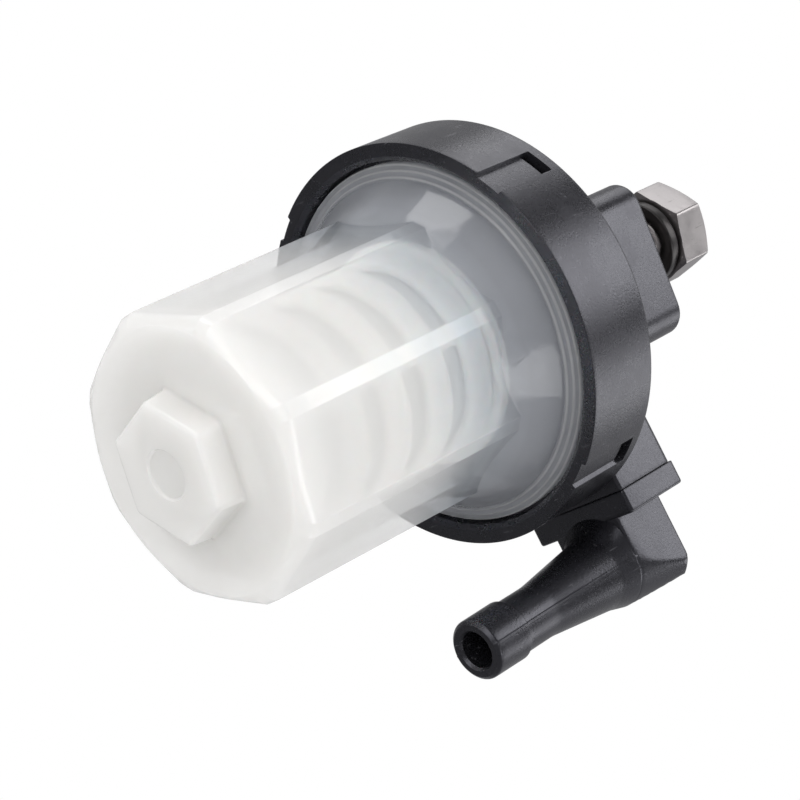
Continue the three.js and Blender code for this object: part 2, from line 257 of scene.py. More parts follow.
def lathe(profile, angles=None, shape=None, closed=False):
    """Body of revolution from (radius, z) points. shape(radius, angles, z) may reshape each ring."""
    if angles is None:
        angles = circle_angles(96)
    rows = []
    for radius, z in profile:
        if radius < 1e-6:
            continue
        radii = radius if shape is None else shape(radius, angles, z)
        rows.append(ring_row(angles, radii, z))
    return skin(rows, closed)


def placed(part, matrix):
    verts, faces = part
    flat = np.c_[verts, np.ones(len(verts))] @ np.array(matrix).T
    return flat[:, :3], faces


def shifted(part, x=0, y=0, z=0):
    return placed(part, Matrix.Translation((x, y, z)))


def along_y(part):
    """A part made round Z, turned so that its axis runs along +Y."""
    return placed(part, Matrix.Rotation(math.radians(-90), 4, "X"))


def along_x(part):
    return placed(part, Matrix.Rotation(math.radians(90), 4, "Y"))


def bead(mean_r, wire_r, z, sides=20, count=120):
    """Sealing ring of round section."""
    profile = [(mean_r + wire_r * math.cos(a), z + wire_r * math.sin(a)) for a in circle_angles(sides)]
    return lathe(profile, circle_angles(count), closed=True)


# ---------- pieces ----------
def make_piece(name, parts, material, body, node, sharp=32):
    """One visible piece from closed parts, riding on a CAD body and standing for a CAD node."""
    verts = []
    faces = []
    for part_verts, part_faces in parts:
        start = len(verts)
        verts += [tuple(v * MM) for v in np.asarray(part_verts)]
        faces += [tuple(start + i for i in face) for face in part_faces]
    mesh = bpy.data.meshes.new(name)
    mesh.from_pydata(verts, [], faces)
    bm = bmesh.new()
    bm.from_mesh(mesh)
    bmesh.ops.dissolve_degenerate(bm, dist=1e-7, edges=bm.edges)
    bmesh.ops.recalc_face_normals(bm, faces=bm.faces)
    bm.to_mesh(mesh)
    bm.free()
    mesh.shade_smooth()
    mesh.set_sharp_from_angle(angle=math.radians(sharp))
    mesh.materials.append(material)
    piece = bpy.data.objects.new(name, mesh)
    bpy.context.collection.objects.link(piece)
    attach(piece, body)
    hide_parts(node)
    return piece


# ---------- materials ----------
class Look:
    """A Principled material whose nodes are added by name, in object coordinates (metres)."""

    def __init__(self, name, **sockets):
        self.material = bpy.data.materials.new(name)
        self.material.use_nodes = True
        self.tree = self.material.node_tree
        self.shader = self.tree.nodes["Principled BSDF"]
        for socket, value in sockets.items():
            self.shader.inputs[socket.replace("_", " ")].default_value = value
        self.place = self.add("ShaderNodeTexCoord").outputs["Object"]

    def add(self, kind, inputs=None, **settings):
        node = self.tree.nodes.new(kind)
        for key, value in settings.items():
            setattr(node, key, value)
        for key, value in (inputs or {}).items():
            if isinstance(value, bpy.types.NodeSocket):
                self.tree.links.new(value, node.inputs[key])
            else:
                node.inputs[key].default_value = value
        return node

    def stretched(self, scale, rotation=(0, 0, 0)):
        turned = [math.radians(a) for a in rotation]
        inputs = {"Vector": self.place, "Scale": scale, "Rotation": turned}
        return self.add("ShaderNodeMapping", inputs).outputs["Vector"]

    def noise(self, scale, detail=3, vector=None, roughness=0.5):
        inputs = {"Vector": vector or self.place, "Scale": scale, "Detail": detail, "Roughness": roughness}
        return self.add("ShaderNodeTexNoise", inputs).outputs["Fac"]

    def remap(self, value, low, high, to_low, to_high):
        inputs = {"Value": value, "From Min": low, "From Max": high, "To Min": to_low, "To Max": to_high}
        return self.add("ShaderNodeMapRange", inputs).outputs["Result"]

    def maths(self, operation, a, b):
        return self.add("ShaderNodeMath", {0: a, 1: b}, operation=operation).outputs["Value"]

    def mixed(self, factor, a, b):
        node = self.add("ShaderNodeMix", data_type="RGBA")
        self.tree.links.new(factor, node.inputs["Factor"])
        for socket, value in ((node.inputs[6], a), (node.inputs[7], b)):
            if isinstance(value, bpy.types.NodeSocket):
                self.tree.links.new(value, socket)
            else:
                socket.default_value = (*value, 1)
        return node.outputs[2]

    def feed(self, socket, value):
        self.tree.links.new(value, self.shader.inputs[socket])

    def bump(self, height, strength, distance, after=None):
        inputs = {"Height": height, "Strength": strength, "Distance": distance}
        if after is not None:
            inputs["Normal"] = after
        return self.add("ShaderNodeBump", inputs).outputs["Normal"]

    def streaks(self, fine, long, rotation, low, high):
        """Thin scattered scratches: 0 off a scratch, 1 on it."""
        lines = self.noise(1, 2, self.stretched((fine, long, long), rotation))
        return self.remap(lines, low, high, 0, 1)


def black_nylon():
    """Moulded black nylon: fine sooty grain, dull and glossy patches, dust and a few short scratches."""
    look = Look("black_nylon", IOR=1.5, Specular_IOR_Level=0.95)
    look.shader.inputs["Specular Tint"].default_value = (0.89, 0.89, 1, 1)
    mottle = look.noise(160, 5, roughness=0.6)
    grain = look.noise(3200, 4, roughness=0.65)
    dust = look.remap(look.noise(1500, 2), 0.70, 0.76, 0, 1)
    one_way = look.streaks(2600, 260, (20, 35, 10), 0.71, 0.76)
    other_way = look.streaks(2400, 300, (-50, 10, 75), 0.72, 0.77)
    scratch = look.maths("MULTIPLY", look.maths("MAXIMUM", one_way, other_way), 0.6)
    scratch = look.maths("MAXIMUM", scratch, dust)
    base = look.mixed(mottle, (0.006, 0.006, 0.007), (0.015, 0.015, 0.018))
    sooty = look.remap(grain, 0.35, 0.7, 0, 1)
    base = look.mixed(sooty, look.mixed(grain, base, (0.004, 0.004, 0.005)), base)
    look.feed("Base Color", look.mixed(scratch, base, (0.085, 0.085, 0.092)))
    rough = look.remap(mottle, 0.3, 0.7, 0.24, 0.33)
    rough = look.maths("ADD", rough, look.remap(grain, 0.3, 0.7, -0.035, 0.045))
    look.feed("Roughness", look.maths("ADD", rough, look.maths("MULTIPLY", scratch, 0.12)))
    normal = look.bump(grain, 0.16, 0.0002)
    look.feed("Normal", look.bump(look.noise(90, 2), 0.08, 0.0008, normal))
    return look.material


def milky_nylon():
    """Milky see-through nylon: cloudy at the closed end, clearer by the element, greyer on the shoulder. The
    band by the element and the shoulder get a darker bluish-grey base colour: painted shade for the darker
    inside seen through the wall.
    """
    look = Look("milky_nylon", IOR=1.5, Specular_IOR_Level=1.0, Subsurface_Weight=1.0,
                Subsurface_Scale=0.005)
    look.shader.inputs["Subsurface Radius"].default_value = (1, 1, 1)
    cloud = look.noise(70, 4)
    height = look.add("ShaderNodeSeparateXYZ", {0: look.place}).outputs["Z"]
    body = look.mixed(cloud, (0.89, 0.87, 0.84), (0.94, 0.925, 0.895))
    # painted shade: the shoulder is coloured grey for the dark head seen through the wall, and the band by
    # the element bluish grey for the darker inside
    shoulder = look.mixed(cloud, (0.42, 0.435, 0.47), (0.50, 0.515, 0.55))
    clear_band_painted_shade = look.mixed(cloud, (0.62, 0.66, 0.71), (0.70, 0.74, 0.78))
    by_element = look.remap(height, -0.062, -0.050, 0, 1)
    tone = look.mixed(by_element, body, clear_band_painted_shade)
    on_shoulder = look.remap(height, -0.0485, -0.0435, 0, 1)
    tone = look.mixed(on_shoulder, tone, shoulder)
    out = look.add("ShaderNodeVectorMath", {0: look.place, 1: (1, 1, 0)}, operation="MULTIPLY").outputs[0]
    out = look.add("ShaderNodeVectorMath", {0: out}, operation="LENGTH").outputs["Value"]
    for ring in RIM_HIGHLIGHT_RADII:  # painted highlight: thin lighter lines of base colour along the step edges of the rim
        off = look.maths("ABSOLUTE", look.maths("SUBTRACT", out, ring * MM), 0)
        near = look.remap(off, 0.00004, 0.00016, 1, 0)
        near = look.maths("MULTIPLY", near, look.remap(height, -0.0412, -0.0406, 0, 0.7))
        tone = look.mixed(near, tone, (0.82, 0.83, 0.84))
    look.feed("Base Color", tone)
    gloss = look.remap(look.noise(200, 3), 0.3, 0.7, 0.05, 0.10)
    look.feed("Roughness", look.maths("ADD", gloss, look.remap(height, -0.080, -0.074, 0.14, 0)))
    deep = look.remap(height, -0.080, -0.050, 0.68, 0.35)
    look.feed("Alpha", look.maths("ADD", deep, look.remap(height, -0.047, -0.044, 0, 0.06)))
    flow = look.noise(1, 2, look.stretched((120, 120, 18)))
    normal = look.bump(flow, 0.04, 0.0006)
    look.feed("Normal", look.bump(look.noise(1500, 2), 0.04, 0.0002, normal))
    return look.material


def white_plastic():
    look = Look("white_plastic", IOR=1.46, Subsurface_Weight=0.3, Subsurface_Scale=0.001)
    cloud = look.noise(150, 4)
    look.feed("Base Color", look.mixed(cloud, (0.86, 0.87, 0.83), (0.93, 0.94, 0.91)))
    look.feed("Roughness", look.remap(cloud, 0.3, 0.7, 0.38, 0.5))
    look.feed("Normal", look.bump(look.noise(1800, 3), 0.12, 0.0002))
    return look.material


def filter_cloth():
    look = Look("filter_cloth", IOR=1.45)
    warp = look.add("ShaderNodeTexWave", {"Vector": look.place, "Scale": 1400.0, "Distortion": 0.3},
                    bands_direction="Z").outputs["Fac"]
    weft_lines = look.add("ShaderNodeTexWave", {"Vector": look.place, "Scale": 1400.0, "Distortion": 0.3},
                          bands_direction="DIAGONAL").outputs["Fac"]
    weave = look.maths("MULTIPLY", warp, weft_lines)
    look.feed("Base Color", look.mixed(weave, (0.34, 0.38, 0.38), (0.62, 0.67, 0.66)))
    look.feed("Roughness", look.remap(weave, 0, 1, 0.85, 0.65))
    look.feed("Normal", look.bump(weave, 0.5, 0.0002))
    return look.material


def seal_rubber():
    look = Look("seal_rubber", IOR=1.5)
    dust = look.noise(900, 4)
    look.feed("Base Color", look.mixed(dust, (0.010, 0.010, 0.010), (0.030, 0.030, 0.029)))
    look.feed("Roughness", look.remap(dust, 0.3, 0.7, 0.55, 0.75))
    look.feed("Normal", look.bump(dust, 0.15, 0.0002))
    return look.material


# shade scales every colour of the steel: below 1 it is painted shade for a part that sits in shadow
def plated_steel(name="plated_steel", shade=1.0):
    look = Look(name, Metallic=1.0)
    cloud = look.noise(220, 4)
    lines = look.streaks(3000, 400, (0, 0, 25), 0.66, 0.80)

    def shaded(*colour):
        return tuple(channel * shade for channel in colour)

    tone = look.mixed(cloud, shaded(0.33, 0.31, 0.31), shaded(0.56, 0.535, 0.535))
    look.feed("Base Color", look.mixed(lines, tone, shaded(0.30, 0.285, 0.28)))
    rough = look.remap(cloud, 0.3, 0.7, 0.30, 0.42)
    look.feed("Roughness", look.maths("ADD", rough, look.maths("MULTIPLY", lines, 0.1)))
    look.feed("Normal", look.bump(look.noise(700, 4), 0.12, 0.0003))
    return look.material


# ---------- head ----------
def skirt_shape(radius, angles, z):
    """Cuts the grip channels and their blind pockets into the skirt, and the thread into its bore."""
    radii = np.full(angles.shape, float(radius))
    if radius > THREAD_BORE_R + 1 and z < SKIRT_REAR:
        quarter = np.mod(angles - math.radians(CHANNEL_ANGLE) + math.pi / 4, math.pi / 2) - math.pi / 4
        across = smooth((CHANNEL_HALF + 0.1 - np.abs(quarter) * SKIRT_R) / 0.2)
        channel_end = SKIRT_REAR - REAR_RIM
        blend = 2 * CHANNEL_BLEND
        channel = CHANNEL_DEPTH * across * smooth((channel_end + CHANNEL_BLEND - z) / blend)
        under_roof = smooth((channel_end - z + CHANNEL_BLEND) / blend)
        over_floor = smooth((z - channel_end + POCKET_LENGTH + CHANNEL_BLEND) / blend)
        in_pocket = under_roof * over_floor
        limit = SKIRT_R - np.maximum(channel, POCKET_DEPTH * across * in_pocket)
        return np.minimum(radii, limit)
    if abs(radius - THREAD_BORE_R) < 0.01 and LIP_FLOOR + 0.6 < z < ROOF_UNDER - 0.6:
        return radii + BORE_THREAD_DEPTH - thread(angles, z, CUP_PITCH, BORE_THREAD_DEPTH)
    return radii


def head_shell():
    channel_end = SKIRT_REAR - REAR_RIM
    outer = [(SKIRT_R, SKIRT_FRONT, 0.12), (SKIRT_R, channel_end - POCKET_LENGTH - 0.1, 0),
             (SKIRT_R, channel_end - POCKET_LENGTH + 0.1, 0), (SKIRT_R, channel_end - 0.1, 0),
             (SKIRT_R, channel_end + 0.1, 0), (SKIRT_R, SKIRT_REAR, 0.5)]
    profile = rounded_line([
        (0, ROOF_UNDER, 0),
        (THREAD_BORE_R, ROOF_UNDER, 0.4),
        (THREAD_BORE_R, LIP_FLOOR, 0.15),
        (LIP_R, LIP_FLOOR, 0.2),
        (LIP_R, SKIRT_FRONT + 0.7, 0.15),
        (LIP_R + 0.7, SKIRT_FRONT, 0.1),
        *outer,
        (26.4, SKIRT_REAR, 0.6),
        (25.2, -26.1, 1.2),
        (23, -25, 2),
        (14, DOME_TOP, 3),
        (0, DOME_TOP, 0),
    ])
    quarters = [math.radians(CHANNEL_ANGLE + 90 * k) for k in range(4)]
    edges = [side * mm / SKIRT_R for side in (-1, 1) for mm in (1.75, 1.88, 1.96, 2.04, 2.12, 2.3)]
    angles = with_edges(circle_angles(216), quarters, edges)
    return lathe(refined(profile, 0.45), angles, skirt_shape)


def stacked_rows(outline_at, levels):
    """Rings of an outline that changes with (inset, height)."""
    return [np.array([(x, y, z) for x, y in outline_at(inset)]) for inset, z in levels]


def boss_outline(inset):
    corners = [(BOSS_BACK + inset, -BOSS_HALF_BACK + inset), (BOSS_FRONT - inset, -BOSS_HALF_FRONT + inset),
               (BOSS_FRONT - inset, BOSS_HALF_FRONT - inset), (BOSS_BACK + inset, BOSS_HALF_BACK - inset)]
    return rounded_line([(x, y, BOSS_CORNER - inset) for x, y in corners], closed=True, step=9)


def quarter_arc(radius, steps=5):
    """(inset, rise) along a rounded edge, from the wall to the face."""
    turns = np.linspace(0, math.pi / 2, steps + 1)
    return [(radius * (1 - math.cos(a)), radius * math.sin(a)) for a in turns]


def head_boss():
    foot = [(-inset, DOME_TOP - 0.05 + rise) for rise, inset in reversed(quarter_arc(1.1))]
    levels = [(-1.1, DOME_TOP - 2), *foot]
    levels += [(0, z) for z in np.linspace(DOME_TOP + 1.6, -0.7, 12)]
    levels += [(inset, -0.6 + rise) for inset, rise in quarter_arc(0.6)]
    rows = stacked_rows(boss_outline, levels)
    top = rows[-1]
    bearing = np.arctan2(top[:, 1], top[:, 0])
    seat = [(6.2, 0), (5.9, -0.08), (5.5, -0.25), (4.3, -0.25), (4.12, -0.4), (4.12, -3)]
    rows += [ring_row(bearing, radius, z) for radius, z in seat]
    return skin(rows)


def box_outline(half, low, high, low_round, high_round, inset=0):
    """Rounded rectangle in (y, z)."""
    corners = [(-half + inset, low + inset, low_round), (half - inset, low + inset, low_round),
               (half - inset, high - inset, high_round), (-half + inset, high - inset, high_round)]
    return rounded_line([(y, z, max(r - inset, 0.1)) for y, z, r in corners], closed=True, step=12)


def along_x_rows(outline, levels):
    """Rings in planes of constant x, for (inset, x) levels."""
    return [np.array([(x, y, z) for y, z in outline(inset)]) for inset, x in levels]


def socket_rows(last, x, radius, depth):
    """Rings that lead from an end face into a round socket along X."""
    bearing = np.arctan2(last[:, 2] - PASSAGE_Z, last[:, 1])
    rows = []
    for r, back in ((radius + 0.3, 0), (radius, 0.3), (radius, depth)):
        rows.append(np.stack([np.full(bearing.shape, x - back), r * np.cos(bearing),
                              PASSAGE_Z + r * np.sin(bearing)], axis=1))
    return rows


def head_arm():
    levels = [(0, 6)] + [(0, x) for x in np.linspace(10, ARM_END - 0.5, 8)]
    levels += [(inset, ARM_END - 0.12 + rise) for inset, rise in quarter_arc(0.12, 3)]
    rows = along_x_rows(lambda inset: box_outline(ARM_HALF, ARM_LOW, ARM_HIGH, 0.5, 1.3, inset), levels)
    return skin(rows + socket_rows(rows[-1], ARM_END, SOCKET_R, 4))


def head_port():
    profile = rounded_line([(0, 0, 0), (PORT_R, 0, 0), (PORT_R, PORT_FACE, 0.5), (SOCKET_R, PORT_FACE, 0.3),
                            (SOCKET_R, PORT_FACE - 4, 0), (0, PORT_FACE - 4, 0)])
    return shifted(along_y(lathe(refined(profile, 2))), z=PORT_Z)


def head_spigot():
    root = ROOF_UNDER + 0.5
    end = SKIRT_FRONT - SPIGOT_BELOW_SKIRT
    profile = rounded_line([(BORE_R, root, 0), (SPIGOT_R, root, 0), (SPIGOT_R, end, 0.5), (BORE_R, end, 0.3)])
    return lathe(refined(profile, 2), closed=True)


# ---------- hose fittings ----------
def barb_part(root_z, root_r, tip, inner_fillet=0.0):
    """Hollow hose barb pointing down, with its lip at the tip and a parting line down each side.
    inner_fillet widens the root on the side that faces -X."""
    profile = rounded_line([
        (BORE_R, root_z + 2, 0),
        (root_r, root_z + 2, 0),
        (root_r, root_z, 0.5),
        (root_r - 0.75, root_z - 3, 4),
        (BARB_R, tip + BARB_LIP + 6, 8),
        (BARB_R, tip + BARB_LIP, 0.15),
        (BARB_LIP_R, tip + BARB_LIP - 0.35, 0.2),
        (BARB_LIP_R - 0.05, tip + 0.5, 0.4),
        (BARB_LIP_R - 0.6, tip, 0.25),
        (BORE_R + 0.35, tip, 0.2),
        (BORE_R, tip + 0.45, 0.2),
    ])

    def shape(radius, angles, z):
        if radius < BARB_R - 0.1:
            return radius
        across = np.abs(np.mod(angles, math.pi) - math.pi / 2) * BARB_R
        seam = 0.09 * smooth(1 - across / 0.26)
        fall = max(0.0, 1 - (root_z - z) / 3.2) ** 2 if z < root_z else 1
        return radius + seam + inner_fillet * fall * smooth(-1.4 * np.cos(angles) - 0.1)

    fine = [side * mm / BARB_R for side in (-1, 1) for mm in (0.06, 0.13, 0.2, 0.27)] + [0]
    angles = with_edges(circle_angles(72), [math.pi / 2, -math.pi / 2], fine)
    return lathe(refined(profile, 0.8), angles, shape, closed=True)


def plug_part():
    """Plug with its seal groove; its shoulder is at z = 0 and it points down."""
    plug_r = 4.5
    groove_r = 3.25
    groove_low, groove_high = -3.2, -1.6
    profile = rounded_line([(BORE_R, -4.4, 0), (4.1, -4.4, 0), (plug_r, -4, 0.1), (plug_r, groove_low, 0.1),
                            (groove_r, groove_low, 0), (groove_r, groove_high, 0),
                            (plug_r, groove_high, 0.1), (plug_r, 1, 0), (BORE_R, 1, 0)])
    return lathe(profile, circle_angles(72), closed=True)


def elbow_flange():
    def outline(inset):
        return box_outline(FLANGE_HALF, ARM_LOW, FLANGE_HIGH, 0.5, 0.9, inset)

    levels = [(inset, FLANGE_START + 0.12 - rise) for inset, rise in reversed(quarter_arc(0.12, 3))]
    levels += [(0, x) for x in np.linspace(FLANGE_START + 0.6, FLANGE_END - 0.6, 3)]
    levels += [(inset, FLANGE_END - 0.35 + rise) for inset, rise in quarter_arc(0.35, 4)]
    return skin(along_x_rows(outline, levels))


def elbow_block():
    """Body of the elbow: flat sides and a tapered round nose over the barb."""
    low = ARM_LOW + 0.1
    start = FLANGE_END - 1

    def ring(inset, z):
        nose = np.interp(z, [low, BLOCK_HIGH - 0.8, BLOCK_HIGH], [6.0, 7.5, 6.9]) - inset
        side = BLOCK_HALF - inset
        end = BLOCK_END - inset
        turn = np.linspace(-math.pi / 2, math.pi / 2, 49)
        x = np.minimum(BARB_X + nose * np.cos(turn), end)
        y = np.clip(nose * np.sin(turn), -side, side)
        back = [(start, side), (start, 0.0), (start, -side)]
        outline = [(start + (BARB_X - start) * t, -min(side, nose + (1 - t))) for t in (0.35, 0.7)]
        outline += list(zip(x, y))
        outline += [(px, -py) for px, py in reversed(outline[:2])]
        outline += back
        return np.array([(px, py, z) for px, py in outline])

    rows = [ring(inset, low + 0.3 - rise) for inset, rise in reversed(quarter_arc(0.3, 3))]
    rows += [ring(0, z) for z in np.linspace(low + 0.8, BLOCK_HIGH - 0.9, 14)]
    rows += [ring(inset, BLOCK_HIGH - 0.6 + rise) for inset, rise in quarter_arc(0.6, 5)]
    return skin(rows)


def elbow_parts():
    stem = shifted(barb_part(ARM_LOW + 0.15, 6.0, BARB_TIP, 1.3), x=BARB_X)
    plug = shifted(along_x(plug_part()), x=PLUG_SHOULDER, z=PASSAGE_Z)
    return [elbow_flange(), elbow_block(), stem, plug]


def outlet_parts():
    collar_r = PORT_R - 0.6
    collar_end = PORT_SHOULDER + 2.2
    profile = rounded_line([(BORE_R, PORT_SHOULDER, 0), (collar_r, PORT_SHOULDER, 0.3),
                            (collar_r, collar_end, 0.4), (BORE_R, collar_end, 0)])
    collar = lathe(profile, closed=True)
    stem = placed(barb_part(-collar_end, BARB_R + 1.1, -PORT_TIP), Matrix.Rotation(math.pi, 4, "X"))
    plug = shifted(plug_part(), z=PORT_SHOULDER)
    return [shifted(along_y(part), z=PORT_Z) for part in (collar, stem, plug)]


# ---------- cup ----------
def cup_angles():
    sector = [0, 1.2, 2.3, 2.75, 3.05, 3.4, 4.5, 6.5, 9.5, 13, 17.5]
    corners = [math.radians(CUP_PHASE + 45 * k) for k in range(8)]
    both = [side * math.radians(a) for a in sector for side in (-1, 1)]
    middles = [c + math.radians(22.5) for c in corners]
    hexes = [math.radians(HEX_PHASE + 60 * k) for k in range(6)]
    near = [math.radians(a) for a in (-3.5, -2, -1, 0, 1, 2, 3.5)]
    return with_edges(with_edges(middles, corners, both), hexes, near)


def cup_corner_at(z):
    return np.interp(z, [CUP_BOTTOM, SHOULDER_Z], [CUP_CORNER_R, CUP_CORNER_R_TOP])


def cup_outline(angles, corner_r):
    """Octagon with a narrow flat along every corner."""
    turn = math.radians(22.5)
    facet_r = (corner_r - CUP_CORNER_FLAT / 2 * math.tan(turn)) / math.cos(turn)
    sides = polygon_radius(angles, 8, corner_r, 0.2, CUP_PHASE)
    corners = polygon_radius(angles, 8, facet_r, 0.2, CUP_PHASE + 22.5)
    return np.minimum(sides, corners)


def cup_body():
    angles = cup_angles()
    rows = []

    def oct_row(corner_r, z):
        rows.append(ring_row(angles, cup_outline(angles, corner_r), z))

    def hex_row(side, z):
        rows.append(ring_row(angles, polygon_radius(angles, 6, side, 0.9, HEX_PHASE), z))

    # end: dimple, hexagon foot, flat face and rounded foot edge
    dimple = rounded_line([(0, HEX_BOTTOM + 0.55, 0), (3.1, HEX_BOTTOM + 0.5, 0.3), (3.3, HEX_BOTTOM, 0.15),
                           (5, HEX_BOTTOM, 0)])
    rows += [ring_row(angles, radius, z) for radius, z in refined(dimple, 1) if radius > 0]
    for inset, rise in reversed(quarter_arc(0.7, 4)):
        hex_row(HEX_SIDE - inset, HEX_BOTTOM + 0.7 - rise)
    for t in (0.25, 0.5, 0.75):
        hex_row(HEX_SIDE + 0.3 * t, HEX_BOTTOM + 0.7 + t * (CUP_BOTTOM - HEX_BOTTOM - 1.2))
    for inset, rise in quarter_arc(0.5, 4):
        hex_row(HEX_SIDE + 0.3 + inset, CUP_BOTTOM - 0.5 + rise)
    for t in (0.3, 0.6, 0.9, 0.985):
        hexagon = polygon_radius(angles, 6, HEX_SIDE + 0.8, 0.9, HEX_PHASE)
        rows.append(ring_row(angles, hexagon + (CUP_END_R - hexagon) * t, CUP_BOTTOM))
    wall_low = CUP_BOTTOM + CUP_FOOT_R
    wall = cup_outline(angles, float(cup_corner_at(wall_low)))
    edge = math.radians(30)  # slope of the rounding where it leaves the flat end
    lift = 0.04  # the rounding starts this far above the flat end
    for turn in np.radians([30, 33, 42, 54, 66, 78, 90]):
        out = (math.sin(turn) - math.sin(edge)) / (1 - math.sin(edge))
        rise = (math.cos(edge) - math.cos(turn)) / math.cos(edge)
        z = CUP_BOTTOM + lift + (CUP_FOOT_R - lift) * rise
        rows.append(ring_row(angles, CUP_END_R + (wall - CUP_END_R) * out, z))

    # side walls rise to where they meet the cone of the shoulder, which scallops the edge
    cone_z = np.array([-48, -44.1, -39.9])
    cone_r = np.array([17.7, 20.35, 22.9])
    blend = 0.18  # half the height of the rounding between wall and cone
    meet = np.empty(angles.shape)
    heights = np.linspace(-48, -43, 201)
    for i in range(len(angles)):
        side = np.array([cup_outline(angles[i : i + 1], float(cup_corner_at(h)))[0] for h in heights])
        gap = np.interp(heights, cone_z, cone_r) - side
        meet[i] = np.interp(0, gap, heights)
    for t in (0.08, 0.25, 0.45, 0.65, 0.85, 0.96):
        z = wall_low + (meet - blend - wall_low) * t
        rows.append(ring_row(angles, cup_outline(angles, cup_corner_at(z)), z))
    corner = cup_outline(angles, cup_corner_at(meet))
    low = ring_row(angles, corner, meet - blend)
    high_z = meet + blend
    high = ring_row(angles, np.interp(high_z, cone_z, cone_r), high_z)
    knee = ring_row(angles, corner, meet)
    for t in (0, 0.25, 0.5, 0.75, 1):
        rows.append((1 - t) ** 2 * low + 2 * t * (1 - t) * knee + t * t * high)
    for t in (0.2, 0.45, 0.7, 0.9):
        z = high_z + (RIM_LOW - high_z) * t
        rows.append(ring_row(angles, np.interp(z, cone_z, cone_r), z))

    # rim steps, neck with its thread, and the top edge
    rim = rounded_line([(22.78, RIM_LOW, 0), (22.9, -39.75, 0.1), (23.2, -39.85, 0.12), (23.45, -39.5, 0.12),
                        (24.0, -39.5, 0.15), (24.2, -39.15, 0.12), (RIM_R - 0.15, -39.15, 0.12),
                        (RIM_R, -38.8, 0.12), (RIM_R, -37.1, 0.15), (NECK_R, -37.1, 0.1), (NECK_R, -36.6, 0)])
    rows += [ring_row(angles, radius, z) for radius, z in refined(rim, 0.8)]
    for z in np.arange(-36.4, NECK_TOP - 0.6, 0.22):
        start = smooth((z + 36.6) / 0.8) * smooth((NECK_TOP - 0.3 - z) / 0.8)
        rows.append(ring_row(angles, NECK_R - start * thread(angles, z, CUP_PITCH, NECK_THREAD_DEPTH), z))
    lip = rounded_line([(NECK_R, NECK_TOP - 0.5, 0), (NECK_R - 0.1, NECK_TOP, 0.35),
                        (THROAT_R, NECK_TOP, 0.3), (THROAT_R, -38.8, 0)])
    rows += [ring_row(angles, radius, z) for radius, z in refined(lip, 1.2)]

    # inside: throat cone, octagonal bore and floor with its well
    throat_z = np.array([-47.5, THROAT_TOP])
    throat_r = np.array([16.37, THROAT_R])
    inner_corner = float(cup_corner_at(SHOULDER_Z)) - CUP_WALL - 0.2
    bore = cup_outline(angles, inner_corner)
    inner_meet = np.interp(bore, throat_r, throat_z)
    for t in (0.1, 0.3, 0.5, 0.7, 0.9, 1):
        z = THROAT_TOP + (inner_meet - THROAT_TOP) * t
        rows.append(ring_row(angles, np.interp(z, throat_z, throat_r), z))
    floor = CUP_BOTTOM + 2.2
    fillet = 1.4  # between the floor and the wall
    floor_corner = CUP_CORNER_R - CUP_WALL - 0.2
    for t in (0.03, 0.2, 0.4, 0.6, 0.8, 1):
        z = inner_meet + (floor + fillet - inner_meet) * t
        corner_r = inner_corner + (floor_corner - inner_corner) * t
        rows.append(ring_row(angles, cup_outline(angles, corner_r), z))
    for inset, rise in quarter_arc(fillet, 5)[1:]:
        oct_row(floor_corner - inset, floor + fillet - rise)
    well_floor = HEX_BOTTOM + 2.2
    well = rounded_line([(12, floor, 0), (6.6, floor, 0.6), (6.2, well_floor, 0.8), (2, well_floor, 0)])
    rows += [ring_row(angles, radius, z) for radius, z in refined(well, 1.5)]
    return skin(rows)


# ---------- element ----------
def element_top():
    profile = rounded_line([(SPIGOT_R + 0.4, CAGE_HIGH + 0.3, 0.2), (CAP_R, CAGE_HIGH + 0.3, 0.3),
                            (CAP_R, CAGE_HIGH + 2.3, 0.7), (8.2, CAGE_HIGH + 2.3, 0.6), (8.2, -36, 0.4),
                            (7, -36, 0.2), (7, -39.8, 0.2), (SPIGOT_R + 0.4, -39.8, 0.2)], closed=True)
    return lathe(refined(profile + profile[:1], 1)[:-1], circle_angles(144), closed=True)


def element_bottom():
    low = CAGE_LOW - 2.3
    profile = rounded_line([(0, low + 0.5, 0), (5, low + 0.5, 0.4), (5.6, low, 0.3), (CAP_R, low, 0.7),
                            (CAP_R, low + 2, 0.3), (0, low + 2, 0)])
    return lathe(refined(profile, 1.5), circle_angles(144))


def cage_parts():
    pitch = (CAGE_HIGH - CAGE_LOW + WINDOW_H) / (WINDOW_ROWS + 1)
    inner = CAGE_R - CAGE_T
    hoops = []
    for row in range(WINDOW_ROWS + 1):
        low = CAGE_LOW + row * pitch
        high = low + pitch - WINDOW_H
        corners = [(inner, low, 0.3), (CAGE_R, low, 0.45), (CAGE_R, high, 0.45), (inner, high, 0.3)]
        profile = rounded_line(corners, closed=True, step=22)
        hoops.append(lathe(profile, circle_angles(120), closed=True))
    half = RIB_W / 2
    near, far = inner + 0.05, CAGE_R - 0.06
    outline = rounded_line([(near, -half, 0.3), (far, -half, 0.5), (far, half, 0.5), (near, half, 0.3)],
                           closed=True, step=22)
    heights = np.linspace(CAGE_LOW + 0.4, CAGE_HIGH - 0.4, 8)
    rib = skin([np.array([(x, y, z) for x, y in outline]) for z in heights])
    turn = TAU / RIB_COUNT
    return hoops + [placed(rib, Matrix.Rotation(turn * k, 4, "Z")) for k in range(RIB_COUNT)]


